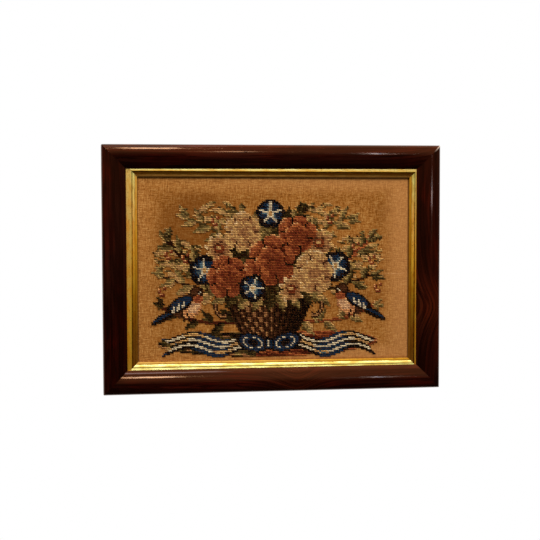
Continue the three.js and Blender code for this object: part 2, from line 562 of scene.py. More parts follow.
slipSizes = {
    "openingWidth": 331.5 * mm,
    "openingHeight": 221.4 * mm,
    "faceWidth": 14.4 * mm,
    "beadWidth": 7.8 * mm,          # flat bead next to the rails
    "beadShoulder": 0.3 * mm,       # how far its edges drop
    "grooveWidth": 1.0 * mm,
    "grooveDepth": 1.1 * mm,
    "coveWidth": 2.9 * mm,
    "coveFoot": 2.4 * mm,           # the cove's foot above the slip's back
    "coveBend": (0.4, 0.65),        # where its curve bends, across and down, as shares
    "sightBandRise": 0.12 * mm,     # crown of the narrow band at the sight edge
    "curveSteps": 8,
    "lengthSteps": 90,
    "shift": Vector((2.35 * mm, 0, -0.7 * mm)),
    "turn": 0.004,
    "jointGap": 0.3 * mm,
    "unevenness": 0.09 * mm,        # of its gessoed face
    "longWaves": (30, 90),          # to a metre, along and across
    "shortWaves": (160, 260),
    "frontFrom": 7.68 * mm,         # what lies nearer the wall stays even
    "stockShift": 0.61,             # from one length to the next, in the leaf's marks
}


def curvePoints(start, bend, end, steps):  # a quadratic curve without its first point
    return [tuple((1 - t) ** 2 * a + 2 * t * (1 - t) * b + t * t * c
                  for a, b, c in zip(start, bend, end))
            for t in (k / steps for k in range(1, steps + 1))]


def slipSection(bm, sizes, back, front):
    shoulder = front - sizes["beadShoulder"]
    grooveFloor = front - sizes["grooveDepth"]
    grooveAt = sizes["beadWidth"]
    coveAt = grooveAt + sizes["grooveWidth"]
    foot = back + sizes["coveFoot"]
    bendAt = coveAt + sizes["coveBend"][0] * sizes["coveWidth"]
    bendHeight = grooveFloor - sizes["coveBend"][1] * (grooveFloor - foot)
    sightBandAt = coveAt + sizes["coveWidth"]
    edge = sizes["faceWidth"]
    steps = sizes["curveSteps"]
    outline = [(0, back), (0, shoulder)]
    outline += curvePoints((0, shoulder), (grooveAt / 2, front + sizes["beadShoulder"]),
                           (grooveAt, shoulder), steps)
    outline += [(grooveAt, grooveFloor), (coveAt, grooveFloor)]
    outline += curvePoints((coveAt, grooveFloor), (bendAt, bendHeight), (sightBandAt, foot), steps)
    outline += curvePoints((sightBandAt, foot), ((sightBandAt + edge) / 2,
                           foot + 2 * sizes["sightBandRise"]), (edge, foot), steps)
    outline.append((edge, back))
    for inwards, height in outline:
        bm.verts.new((0, -height, -inwards))


def unevenSlip(bm, sizes, seed):
    (longAlong, longAcross), (shortAlong, shortAcross) = sizes["longWaves"], sizes["shortWaves"]
    for vert in bm.verts:
        if vert.co.y > -sizes["frontFrom"]:
            continue
        x, z = vert.co.xz
        long = noise.noise(Vector((x * longAlong, seed * 5.1, z * longAcross)))
        short = noise.noise(Vector((x * shortAlong, seed * 9.7, z * shortAcross)))
        vert.co.y += sizes["unevenness"] * (0.35 + 0.7 * long + 0.4 * short)


slipPaintedShading = {                        # painted shade and highlight tint on the leaf for each side, at the left or upper end and at the other
    "top": {"bead": (0.15, 0.17), "cove": (0.78, 0.78), "band": (1, 1)},
    "bottom": {"bead": (0.09, 0.11), "cove": (0.09, 0.11), "band": (0.2, 0.45)},
    "left": {"bead": (0.18, 0.42), "cove": (0.12, 0.85), "band": (0.25, 0.85)},
    "right": {"bead": (0.3, 0.4), "cove": (0.1, 0.85), "band": (0.5, 0.8)},
}


# Paints light and shade on a length of the slip, by side, by part of the section and by place along it.
def paintSlipShading(bm, sizes, side, length):
    paintedShading = bm.verts.layers.float.new("paintedShading")
    towards = {"top": -1, "bottom": 1, "left": 1, "right": -1}[side]
    footAt = sizes["beadWidth"] + sizes["grooveWidth"] + sizes["coveWidth"]
    for vert in bm.verts:
        inwards = 0.01 * mm - vert.co.z  # so a vertex on a line counts as past it
        part = "band" if inwards > footAt else "cove" if inwards > sizes["beadWidth"] else "bead"
        first, last = slipPaintedShading[side][part]
        vert[paintedShading] = first + (last - first) * smoothStep(0.5 - towards * vert.co.x / length)


def buildSlip(side, seed, material):
    sizes = slipSizes
    lowest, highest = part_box("slip_top")
    width = sizes["openingWidth"] + 2 * sizes["faceWidth"]
    height = sizes["openingHeight"] + 2 * sizes["faceWidth"]
    length = width if side in ("top", "bottom") else height
    bm = bmesh.new()
    slipSection(bm, sizes, -highest.y, -lowest.y)
    mitredLength(bm, length, sizes["lengthSteps"], sizes["jointGap"])
    faceOutwards(bm)
    bm.normal_update()
    writeMap(bm, "grain", lambda loop: (loop.vert.co.x + seed * sizes["stockShift"], -loop.vert.co.z))
    unevenSlip(bm, sizes, seed)
    paintSlipShading(bm, sizes, side, length)
    placeLength(bm, side, width, height, pictureMiddle + sizes["shift"], sizes["turn"])
    piece = finishPiece("slip-" + side, bm, [material], sharpAngle=28)
    standFor(piece, ["slip_" + side])
    gildedPieces.objects.link(piece)


gildedPieces = bpy.data.collections.new("gilded pieces")

giltLook = {
    "bright": "fbe0a8",
    "deep": "e0b067",
    "toned": "c29a6a",              # the band at the sight edge: rubbed and dulled leaf, and darkened with painted shade
    "bole": "7a3a1a",
    "grime": "4a2c02",
    "edgeTint": "d89a40",
    "grooveGrime": (0.35 * mm, 0.8 * mm),        # from its middle, where it thins and ends
    "footGrime": (0.15 * mm, 0.5 * mm),
    "dullingAndShade": (-0.2 * mm, 0.3 * mm),            # about the cove's foot, where it begins and is full
}
# painted shading: at 0 the gold stays as it is, near 0.1 a pale lemon highlight tint, towards 1 a
# darker brown shade
paintedShadingColours = [(0.0, "ffffff"), (0.1, "e4f0a8"), (0.2, "f9dd8b"), (0.4, "f9d053"), (0.6, "c7a131"),
               (0.8, "966e28"), (1.0, "73592d")]


def giltMaterial():
    look, sizes = giltLook, slipSizes
    material, tree, shader = newMaterial(
        "gold leaf", Anisotropic=0.6, Anisotropic_Rotation=0.25, Specular_Tint=look["edgeTint"],
        Specular_IOR_Level=0.1)
    along = readMap(tree, "grain")
    across = split(along)["Y"]
    cloudy = addNoise(along, (60, 240, 1), detail=5, seed=1)
    colour = addTint(look["deep"], look["bright"], addRange(cloudy, 0.35, 0.65))
    rubbed = addPatches(along, (110, 620, 1), 0.60, 0.70, detail=4, seed=4)
    colour = addTint(colour, look["bole"], rubbed, 0.65)

    footAt = sizes["beadWidth"] + sizes["grooveWidth"] + sizes["coveWidth"]
    # the band beyond the cove's foot: rubbed, less metallic leaf, with painted shade in its colour
    dulledAndShaded = addRange(across, *(footAt + beyond for beyond in look["dullingAndShade"]), 0.0, 0.55)
    colour = addTint(colour, look["toned"], dulledAndShaded)

    # grime lies in the groove and where the cove meets that band
    inGroove = apart(across, sizes["beadWidth"] + sizes["grooveWidth"] / 2)
    inGroove = addRange(inGroove, *look["grooveGrime"], 1.0, 0.0)
    inFoot = addRange(apart(across, footAt), *look["footGrime"], 0.7, 0.0)
    broken = addPatches(along, (420, 420, 1), 0.3, 0.6, 0.7, 1.0, detail=3, seed=7)
    specks = addPatches(along, (520, 700, 1), 0.63, 0.7, detail=2, seed=9)
    grime = times(larger(inGroove, inFoot), broken)
    grime = larger(grime, times(specks, 0.8))
    paintedShading = readAttribute(tree, "paintedShading")
    grime = times(grime, addRange(paintedShading, 0.12, 0.2, 0.75, 1.0))
    colour = addTint(colour, look["grime"], grime)
    # painted light and shade: the top's cove and band darkened as if turned from the lamps, the bottom
    # tinted pale lemon like a highlight, the sides darker along their length
    colour = addMix(1.0, colour, addRamp(paintedShading, paintedShadingColours), "MULTIPLY")
    worn = larger(times(dulledAndShaded, 0.8), times(rubbed, 0.6))
    metal = addRange(larger(grime, worn), 0.1, 0.9, 0.8, 0.05)
    rough = addRange(cloudy, 0.3, 0.7, 0.55, 0.42)
    rough = plus(rough, times(grime, 0.35))
    bumps = addNoise(along, (300, 500, 1), detail=4, seed=12)
    lengthwise = addNode(tree, "Tangent", direction_type="UV_MAP", uv_map="grain").outputs[0]
    plug(shader, Base_Color=colour, Metallic=metal, Roughness=rough, Tangent=lengthwise,
         Normal=addBump(bumps, 0.25, 0.15 * mm))
    return material


# Linen

linenSizes = {
    "width": 366 * mm,
    "height": 253 * mm,
    "thickness": 1.2 * mm,
    "cell": 2.2 * mm,
    "rise": 0.5 * mm,               # of its slight waves
    "longWaves": (17, 13),          # to a metre, across and up
    "shortWaves": (55, 45),
    "flatBorder": 22 * mm,          # under the slip it lies flat
    "threadPitch": 0.56 * mm,
}
linenFront = -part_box("canvas")[1].y + linenSizes["thickness"]


# How far the linen stands forward of flat, at a place from the picture's middle.
def linenRise(x, z):
    sizes = linenSizes
    inside = min(sizes["width"] / 2 - abs(x), sizes["height"] / 2 - abs(z)) - 0.5 * sizes["flatBorder"]
    wave = 0
    for (wide, high), depth, share in ((sizes["longWaves"], 1.7, 0.6), (sizes["shortWaves"], 5.2, 0.4)):
        wave += share * noise.noise(Vector((x * wide, z * high, depth)))
    return sizes["rise"] * smoothStep(inside / (0.5 * sizes["flatBorder"])) * (0.5 + wave)


# Whether a place from the picture's middle is covered with stitches.
def isWorked(x, z):
    middle, pitch = stitchSizes["designMiddle"], stitchSizes["pitch"]
    r = round((z - middle.z) / pitch + (chartSizes["rows"] - 1) / 2)
    c = round((x - middle.x) / pitch + (chartSizes["columns"] - 1) / 2)
    return 0 <= r < chartSizes["rows"] and 0 <= c < chartSizes["columns"] and chart[r, c] != bare


def buildLinen(material):
    sizes = linenSizes
    bm = bmesh.new()
    bmesh.ops.create_grid(bm, x_segments=round(sizes["width"] / sizes["cell"]),
                          y_segments=round(sizes["height"] / sizes["cell"]), size=0.5)
    stretchAll(bm, (sizes["width"], sizes["height"], 1))
    bmesh.ops.rotate(bm, verts=bm.verts[:], matrix=Matrix.Rotation(math.radians(90), 3, "X"))
    for vert in bm.verts:
        vert.co.y = -linenRise(vert.co.x, vert.co.z)
    bmesh.ops.solidify(bm, geom=bm.faces[:], thickness=sizes["thickness"])
    worked = bm.verts.layers.float.new("worked")
    for vert in bm.verts:
        vert[worked] = isWorked(vert.co.x, vert.co.z)
    faceOutwards(bm)
    writeMap(bm, "weave", lambda loop: loop.vert.co.xz)
    moveAll(bm, pictureMiddle - Vector((0, linenFront, 0)))
    piece = finishPiece("linen", bm, [material], sharpAngle=50)
    standFor(piece, ["canvas"])
    return piece


# Plain weave: each thread's roundness where it passes over, a tone of its own, and a mask for painted
# shade in the holes between threads.
def buildWeaveGroup():
    group, given, result = newGroup("plain weave", {"Place": None, "Pitch": 0.5 * mm},
                                    ["Height", "Tone", "HoleShade"])

    def vectors(operation, first, values):
        return workOn("VectorMath", {0: first, **values}, operation=operation).outputs[0]

    drift = addTexture(given["Place"], Scale=45.0, Detail=2.0)["Color"]
    drift = vectors("SUBTRACT", drift, {1: (0.5, 0.5, 0.5)})
    drift = vectors("SCALE", drift, {"Scale": 1.1 * mm})
    parts = split(vectors("ADD", given["Place"], {1: drift}))
    counts, rounds, tones = [], [], []
    for k, axis in enumerate("XY"):
        number = addMath("DIVIDE", parts[axis], given["Pitch"])
        counts.append(addMath("FLOOR", number))
        turn = times(addMath("FRACT", number), math.pi)
        rounds.append(addMath("SINE", turn))
        other = times(parts["XY"[1 - k]], 110.0)  # slubs along the thread
        along = join(times(counts[k], 7.31), other, 3.0 * k)
        tones.append(addTexture(along, Detail=1.0)["Fac"])
    over = addMath("MODULO", plus(*counts), 2.0)
    over = addMath("ABSOLUTE", over)

    def pick(choices):
        return workOn("Mix", {0: over, 2: choices[0], 3: choices[1]}).outputs[0]

    deep = times(*rounds)
    fillSockets(result, {
        "Height": plus(pick(rounds), times(deep, 0.5)), "Tone": pick(tones),
        "HoleShade": addRange(deep, 0.0, 0.28, 1.0, 0.0)})
    return group


linenLook = {
    "shade": "7a4410",
    "middle": "ac6c2c",
    "pale": "cc9450",
    "stain": "6a3606",
    "blush": "c88a50",
    "holeShade": "4a2608",
    "slub": "f0b878",
    # painted shadow along the slip's edge
    "slipEdgeShadow": "3c1e06",
    "betweenStitches": "3a1e08",
    "sideBorder": (130 * mm, 158 * mm),  # from the middle, where it begins and is full
    "endBorder": (85 * mm, 104 * mm),
    "shadowWidth": (2.2 * mm, 0.3 * mm),           # from the slip's edge, where it begins and is full
    "shadowRise": 90 * mm,                         # from the middle; it grows downwards
    "blushReach": 160 * mm,                      # from the middle; it grows to the right
}
linenStain = {"x": -88 * mm, "z": 40 * mm, "halfWidth": 80 * mm, "halfHeight": 80 * mm}
linenSlub = {"x": 150 * mm, "z": -8 * mm, "halfLength": 15 * mm, "halfWidth": 0.9 * mm}


def linenMaterial(weaveGroup):
    look, stain, slub, slip = linenLook, linenStain, linenSlub, slipSizes
    material, tree, shader = newMaterial(
        "toned linen", Roughness=0.95, Specular_IOR_Level=0.1, Sheen_Weight=0.03, Sheen_Roughness=0.5)
    place = readMap(tree, "weave")
    parts = split(place)
    weave = useGroup(weaveGroup, {"Place": place, "Pitch": linenSizes["threadPitch"]})
    upright = addNoise(place, (640, 110, 1), detail=3, seed=1)
    level = addNoise(place, (120, 760, 1), detail=3, seed=6)
    mottle = addNoise(place, (700, 700, 1), detail=3, seed=9)
    tone = 0.0
    for part, share in ((upright, 0.26), (level, 0.32), (mottle, 0.28), (weave["Tone"], 0.14)):
        tone = plus(tone, times(part, share))
    colour = addRamp(tone, [(0.42, look["shade"]), (0.5, look["middle"]), (0.58, look["pale"])])

    # a brown stain to one side, browner clouds in the middle, pinker and paler borders
    clouds = addNoise(place, (16, 12, 1), detail=5, roughness=0.6, seed=14)
    border = larger(addRange(apart(parts["X"], 0.0), *look["sideBorder"]),
                    addRange(apart(parts["Y"], 0.0), *look["endBorder"]))
    inside = minus(1.0, border)
    away = join(*(
        addMath("DIVIDE", minus(parts[part], stain[middle]), stain[half])
        for part, middle, half in (("X", "x", "halfWidth"), ("Y", "z", "halfHeight"))))
    away = workOn("VectorMath", {0: away}, operation="LENGTH").outputs["Value"]
    away = minus(away, times(clouds, 0.6))
    stained = addRange(away, 0.1, 0.8, 0.68, 0.0)
    stained = larger(stained, addRange(clouds, 0.36, 0.7, 0.12, 0.48))
    stained = times(stained, plus(0.1, times(inside, 0.9)))
    colour = addTint(colour, look["stain"], stained)
    toRight = addRange(parts["X"], -look["blushReach"], look["blushReach"], 0.12, 0.5)
    colour = addTint(colour, look["blush"], times(border, toRight))
    # painted shade in the holes between the threads
    colour = addTint(colour, look["holeShade"], weave["HoleShade"], 0.5)

    # one thick thread shows at the right
    onThread = apart(parts["Y"], slub["z"])
    onThread = addRange(onThread, 0.2 * slub["halfWidth"], slub["halfWidth"], 0.55, 0.0)
    alongThread = apart(parts["X"], slub["x"])
    alongThread = addRange(alongThread, 0.5 * slub["halfLength"], slub["halfLength"], 1.0, 0.0)
    onThread = times(onThread, addRange(level, 0.35, 0.6))
    colour = addTint(colour, look["slub"], times(onThread, alongThread))

    # between the stitches it lies in shade
    colour = addTint(colour, look["betweenStitches"], readAttribute(tree, "worked"), 0.4)

    # painted shadow along the slip's edge, less of it at the bottom and the top
    besideSlip, belowSlip = (
        addRange(apart(parts[part], middle), *(half - width for width in look["shadowWidth"]))
        for part, half, middle in (("X", slip["openingWidth"] / 2, slip["shift"].x),
                                   ("Y", slip["openingHeight"] / 2, slip["shift"].z)))
    low = addRange(parts["Y"], -look["shadowRise"], look["shadowRise"], 0.55, 0.15)
    dirtAndShadow = larger(besideSlip, times(belowSlip, low))
    colour = addTint(colour, look["slipEdgeShadow"], dirtAndShadow, 0.8)
    height = plus(weave["Height"], times(weave["Tone"], 0.8))
    plug(shader, Base_Color=colour, Normal=addBump(height, 0.6, 0.14 * mm))
    return material


# The design, charted one stitch to a square

wools = {
    "ink": "080506", "darkBrown": "240e06", "brown": "482410", "tan": "9c6432",
    "navy": "03080f", "blue": "09263a", "paleBlue": "50666a",
    "cream": "ccb48c", "buff": "d8ae74", "straw": "c08c4a",
    "moss": "2a200c", "olive": "523e18", "sage": "7a602e", "leafPale": "a47c3c",
    "wine": "4a1404", "rust": "742a04", "brick": "9c4814", "salmon": "ca8244", "rose": "d29c68",
}
woolNames = list(wools)
greens = ["moss", "olive", "sage", "leafPale"]
greys = ["olive", "sage", "leafPale", "straw"]
darks = ["ink", "moss", "moss", "olive"]
autumn = ["darkBrown", "olive", "leafPale", "straw", "straw"]
reds = ["ink", "wine", "rust", "rust", "brick", "brick", "salmon"]
creams = ["brown", "tan", "tan", "straw", "straw", "buff"]

chartSizes = {"columns": 146, "rows": 102, "seed": 11, "longestRun": 4}
bare = -1
chart = np.full((chartSizes["rows"], chartSizes["columns"]), bare, dtype=int)
up, column = np.mgrid[0:chartSizes["rows"], 0:chartSizes["columns"]].astype(float)
across = column - (chartSizes["columns"] - 1) / 2
dice = random.Random(chartSizes["seed"])


def rowRuns():  # values that hold for a few stitches of a row
    runs = np.zeros(chart.shape)
    for row in runs:
        start = 0
        while start < len(row):
            length = dice.randint(1, chartSizes["longestRun"])
            row[start:start + length] = dice.uniform(-1, 1)
            start += length
    return runs


toneRuns, edgeRuns = rowRuns(), rowRuns()


def turned(x, z, turn):  # the chart's squares seen from a motif's middle
    cosine, sine = math.cos(math.radians(turn)), math.sin(math.radians(turn))
    return ((across - x) * cosine + (up - z) * sine, (up - z) * cosine - (across - x) * sine)


def inOval(x, z, halfLong, halfWide, turn=0):
    a, b = turned(x, z, turn)
    return (a / halfLong) ** 2 + (b / halfWide) ** 2 <= 1


def fill(mask, wool):
    chart[mask] = woolNames.index(wool)


def shade(mask, value, tones, mix=0.1):  # from the first tone at 0 to the last at 1
    step = np.clip(((value + mix * toneRuns) * len(tones)).astype(int), 0, len(tones) - 1)
    chart[mask] = np.array([woolNames.index(tone) for tone in tones])[step][mask]


def petal(x, z, length, width, turn, tones, mix=0.12, lit=0.3):
    middleX = x + 0.5 * length * math.cos(math.radians(turn))
    middleZ = z + 0.5 * length * math.sin(math.radians(turn))
    outwards = 0.5 + turned(middleX, middleZ, turn)[0] / length
    fromLight = ((up - middleZ) - (across - middleX)) / (1.6 * length)
    value = np.clip(outwards * (1 - lit) + lit * (0.5 + fromLight), 0, 1) ** 1.35
    shade(inOval(middleX, middleZ, 0.5 * length, 0.5 * width, turn), value, tones, mix)


def rose(x, z, size, turn, tones):
    for k in range(6):  # outer petals, dark where they part
        petal(x, z, size * (1.02 if k % 2 else 0.94), size * 0.98, turn + 60 * k, tones, 0.08)
    for k in range(6):
        a, b = turned(x, z, turn + 60 * k + 31)
        fill((a > 0.5 * size) & (a < 0.86 * size) & (np.abs(b) < 0.5), tones[0])
    fill(inOval(x, z, 0.56 * size, 0.56 * size), tones[1])
    for k in range(5):  # the cup
        petal(x, z, size * 0.6, size * 0.62, turn + 72 * k + 20, tones[1:], 0.07, 0.45)
    for k in range(3):  # the furled heart
        petal(x, z, size * 0.34, size * 0.36, turn + 120 * k + 50, tones[1:-1], 0.1, 0.5)


def leaf(x, z, length, width, turn, tones):
    a, b = turned(x, z, turn)
    t = np.clip(a / length, 0, 1)
    half = 0.5 * width * np.sin(math.pi * t ** 0.8) + 0.8 * edgeRuns
    inside = (a > 0) & (a < length) & (np.abs(b) < np.maximum(half, 0.45))
    shade(inside, 0.5 + 0.45 * b / (0.5 * width), tones, 0.26)


def stitchAlong(path, wool, width=1.0):
    for (x0, z0), (x1, z1) in zip(path, path[1:]):
        steps = max(2, int(3 * math.hypot(x1 - x0, z1 - z0)))
        for k in range(steps + 1):
            x, z = x0 + (x1 - x0) * k / steps, z0 + (z1 - z0) * k / steps
            fill((np.abs(across - x) <= width / 2) & (np.abs(up - z) <= width / 2), wool)


def spray(start, bend, end, leaves, length, width, tones, bark, thick=1.2):
    path = [start] + curvePoints(start, bend, end, 24)
    stitchAlong(path, bark, thick)
    for k in range(leaves + 1):
        t = (k + 1) / (leaves + 1.3)
        (x0, z0), (x1, z1) = path[int(t * 24)], path[min(24, int(t * 24) + 1)]
        heading = math.degrees(math.atan2(z1 - z0, x1 - x0))
        side = 1 if k % 2 else -1
        leaf(x0, z0, length * (1.1 - 0.45 * t), width * (1.05 - 0.35 * t),
             heading + side * (50 - 14 * t), tones)
    leaf(*path[-2], length * 0.6, width * 0.6, heading, tones)


def foliage(x, z, halfWide, halfHigh, tones):  # short rows of stitches with linen between
    a, b = turned(x, z, 0)
    tufts = np.sin(a * 0.55 + 2 * np.sin(b * 0.8)) + np.sin(b * 0.9 + a * 0.2)
    inside = (a / halfWide) ** 2 + (b / halfHigh) ** 2 < 1 + 0.25 * edgeRuns
    shade(inside & (tufts + 0.9 * edgeRuns > -0.5), 0.5 + 0.22 * tufts, tones, 0.3)


def convolvulus(x, z, size, turn):
    for k in range(5):
        petal(x, z, size, size * 1.1, turn + 72 * k,
              ["paleBlue", "blue", "blue", "navy", "navy", "navy"], 0.14, 0.0)
    for k in range(5):
        a, b = turned(x, z, turn + 72 * k)
        fill((a > 0) & (a < 0.78 * size) & (np.abs(b) < 0.55), "cream")
        a, b = turned(x, z, turn + 72 * k + 36)
        fill((a > 0.72 * size) & (np.abs(b) < 0.5) & (a < 0.95 * size), "ink")
    fill(inOval(x, z, 0.26 * size, 0.26 * size), "cream")
    fill(inOval(x, z, 0.13 * size, 0.13 * size), "straw")


def daisy(x, z, size, turn):
    for k in range(9):
        petal(x, z, size, size * 0.44, turn + 40 * k, ["brown", "tan", "straw", "buff"], 0.12, 0.2)
    fill(inOval(x, z, 0.3 * size, 0.3 * size), "rust")
    fill(inOval(x - 0.5, z + 0.5, 0.14 * size, 0.14 * size), "straw")


def berries(x, z):
    for aside, higher in ((0, 0), (3, 1.5), (1.5, -2.5)):
        fill(inOval(x + aside, z + higher, 1.4, 1.2), "rust")
        fill(inOval(x + aside - 0.5, z + higher + 0.5, 0.6, 0.6), "salmon")


basketSizes = {"rim": 37, "foot": 14, "halfRim": 27, "halfFoot": 15}


def basket():
    rim, foot = basketSizes["rim"], basketSizes["foot"]
    halfRim, halfFoot = basketSizes["halfRim"], basketSizes["halfFoot"]
    t = np.clip((up - foot) / (rim - foot), 0, 1)
    half = halfFoot + (halfRim - halfFoot) * t ** 0.7
    inside = (up >= foot) & (up <= rim) & (np.abs(across) <= half)
    stake = across / half * 26 + 60
    over = (np.floor(stake / 4) + np.floor((up - foot) / 3)) % 2
    lit = 1 - np.abs(across + 7) / 32
    bulge = 0.16 * np.cos((stake % 4 - 1.8) * math.pi / 2)
    shade(inside, lit * np.where(over == 0, 0.95, 0.62) + bulge - 0.06,
          ["ink", "darkBrown", "brown", "tan"], 0.05)
    fill(inside & ((up - foot) % 3 < 1) & (stake % 4 < 1), "ink")
    for band, ground, twist, lean in (
            ((np.abs(across) <= halfRim + 1.5) & (np.abs(up - rim) <= 1.5), "darkBrown", "tan", 1),
            ((np.abs(across) <= halfFoot + 2) & (up >= foot - 3) & (up < foot), "ink", "brown", -1)):
        fill(band, ground)
        fill(band & ((across + lean * up).astype(int) % 4 < 2), twist)
    for side in (-1, 1):  # handles
        a, b = turned(side * (halfRim + 1), rim - 5, 0)
        ring = np.hypot(a, b / 1.3)
        outside = side * a > -2.5
        fill((ring <= 5.6) & (ring >= 3.4) & outside, "darkBrown")
        fill((ring <= 4.9) & (ring >= 4.1) & outside, "tan")


ribbonSizes = {"middle": 9, "halfWide": 5.6, "creamLines": (0.62, 0.08, -0.5), "lineHalf": 0.75}


def ribbonTail(side, start, reach, rise, swing, phase):
    sizes = ribbonSizes
    along = side * across - start
    turn = along * 0.17 + phase
    fromMiddle = up - (sizes["middle"] + swing * np.sin(turn) + rise * along)
    thick = sizes["halfWide"] + 0.9 * np.cos(turn)
    notch = np.maximum(0, along - reach + 7) * 0.9
    inside = (along >= 0) & (along <= reach)
    inside &= (np.abs(fromMiddle) <= thick) & (np.abs(fromMiddle) >= notch)
    shade(inside, 0.5 + 0.4 * np.cos(turn + 0.5), ["ink", "navy", "blue", "blue"], 0.2)
    for line in sizes["creamLines"]:
        onLine = np.abs(fromMiddle - line * thick) < sizes["lineHalf"]
        shade(inside & onLine, 0.8 + 0.5 * np.cos(turn + 3 * line),
              ["paleBlue", "straw", "cream", "cream"])


def bow():
    loops = ((1.0, "navy"), (0.84, "blue"), (0.62, "cream"), (0.52, "blue"), (0.34, "navy"))
    for side in (-1, 1):
        for size, wool in loops:
            fill(inOval(side * 10, 10, 10 * size, 5.6 * size, side * 16), wool)
    fill(inOval(0, 9, 3.4, 4.0), "navy")
    fill(inOval(0, 9, 2.3, 2.9), "blue")
    fill(inOval(-0.6, 9.6, 0.9, 1.9), "cream")


def mound():
    ground = inOval(0, 10, 67, 8.5) & (up < 17)
    streak = 0.42 + 0.25 * np.sin(across * 0.21 + up * 1.9) + 0.2 * np.sin(across * 0.07 - up * 0.8)
    shade(ground, streak, ["wine", "rust", "rust", "brick", "brick", "salmon"], 0.2)
    shade(ground & (across < -8), streak, ["ink", "moss", "olive", "tan", "leafPale"], 0.2)


birdParts = [        # x and z from the bird's middle, half length and width, turn, wool; facing left
    (13, -6.5, 9.5, 2.2, -28, "ink"),
    (13, -6.0, 8.5, 1.1, -28, "blue"),
    (0, 0, 9.5, 6.2, -30, "brown"),
    (-3.4, -2.2, 6.4, 4.2, -42, "salmon"),
    (-4.6, -1.4, 4.2, 2.6, -48, "rose"),
    (-6.2, 7.0, 4.8, 4.4, 0, "darkBrown"),
    (-7.0, 3.9, 3.2, 2.2, 0, "brick"),
    (-5.6, 8.2, 3.0, 2.2, 0, "brown"),
    (4.2, 0.6, 8.6, 4.2, -28, "ink"),
    (3.4, 1.2, 7.2, 3.0, -28, "blue"),
    (1.8, 0.6, 0.75, 2.7, 18, "cream"),
    (4.7, -0.9, 0.75, 2.7, 18, "cream"),
    (7.6, -2.4, 0.75, 2.7, 18, "cream"),
    (-11.6, 6.6, 2.0, 0.9, 6, "straw"),
    (-7.8, 7.9, 1.05, 1.05, 0, "cream"),
    (-7.8, 7.9, 0.6, 0.6, 0, "ink"),
]


def bird(x, z, side):  # side 1 faces left, -1 right
    for partX, partZ, halfLong, halfWide, turn, wool in birdParts:
        fill(inOval(x + side * partX, z + partZ, halfLong, halfWide, side * turn), wool)
    for foot in (-0.8, 2.2):
        stitchAlong([(x + side * foot, z - 5), (x + side * (foot - 0.5), z - 9)], "ink", 0.9)


def chartDesign():
    for side in (-1, 1):
        foliage(side * 54, 62, 15, 12, autumn)
        foliage(side * 30, 88, 15, 7, autumn)
        spray((side * 14, 46), (side * 48, 54), (side * 62, 73), 8, 15, 6.5, greens,
              "darkBrown" if side < 0 else "brick", 2.2)
        spray((side * 10, 60), (side * 30, 80), (side * 50, 86), 8, 14, 6, greys, "olive")
        spray((side * 4, 68), (side * 9, 82), (side * 20, 90), 5, 11, 5.5,
              darks if side > 0 else greens, "olive")
    mound()
    for side, low, high, bark in ((-1, darks, greys, "wine"), (1, greys, greens, "rust")):
        spray((side * 14, 24), (side * 42, 18), (side * 66, 33), 6, 11, 5.5, low, bark, 1.8)
        spray((side * 20, 38), (side * 46, 44), (side * 65, 51), 6, 13, 6.5, high, "darkBrown")
    ribbonTail(-1, 6, 60, 0.02, 2.2, 0.8)
    ribbonTail(1, 6, 62, -0.01, 2.4, 0.2)
    basket()
    bow()
    shadows = 0.5 + 0.4 * np.sin(across * 0.9) * np.sin(up * 0.7)
    shade(inOval(0, 58, 30, 22), shadows, ["ink", "moss", "darkBrown", "moss", "olive"], 0.2)
    for k in range(15):  # big leaves behind the flowers
        turn = 4 + 172 * k / 14
        x, z = 22 * math.cos(math.radians(turn)), 52 + 20 * math.sin(math.radians(turn))
        leaf(x, z, 21, 10, turn + (9 if k % 2 else -9), (darks, greens, greys)[k % 3])
    for k in range(9):  # and over the rim
        x = -28 + 7 * k
        leaf(x * 0.86, 41, 13, 7, 270 + x * 2.1, (greens, darks, greys)[k % 3])
    daisy(-30, 67, 9.5, 10)
    daisy(31, 70, 9.5, 30)
    convolvulus(-39, 54, 9.5, 20)
    convolvulus(41, 56, 9.5, 50)
    convolvulus(1, 88, 9, 90)
    rose(-16, 77, 12, 30, creams)
    rose(17, 75, 12.5, 75, reds)
    rose(-25, 50, 13.5, 55, reds)
    rose(27, 52, 13.5, 10, creams)
    rose(1, 59, 16, 20, reds)
    convolvulus(-10, 43, 8.5, 70)
    daisy(14, 42, 8.5, 0)
    for x, z in ((-52, 62), (52, 68), (-34, 84), (36, 85), (-62, 64), (62, 60), (-66, 42), (66, 43)):
        berries(x, z)
    bird(-50, 33, -1)
    bird(51, 34, 1)


# Wool stitches

stitchSizes = {
    "pitch": 2.0 * mm,
    "designMiddle": Vector((-5 * mm, 0, -9 * mm)),  # from the picture's middle
    "strandWidth": 1.6 * mm,
    "strandThickness": 0.55 * mm,
    "reach": 0.49,                  # of a pitch, from the stitch's middle to its corner holes
    "lowerRise": 0.34 * mm,         # height of the first strand's middle over the linen
    "upperRise": 0.66 * mm,         # and of the one that crosses it
    "endDepth": 0.15 * mm,
    "stretch": (1.04, 1, 0.89),     # a stitch is wider than it is high, so the rows show
    "wander": 0.09 * mm,            # how far a stitch may lie from its place
    "lean": 5,                      # and turn, in degrees
    "bulk": (0.88, 1.12),           # how thick one is, as a share
    "growth": (0.95, 1.05),         # and how large
    "taper": 0.22,                  # towards a strand's ends, as shares
    "flattening": 0.3,
    "girth": 3 * mm,                # round a strand, for its fibres
    "seed": 23,
}


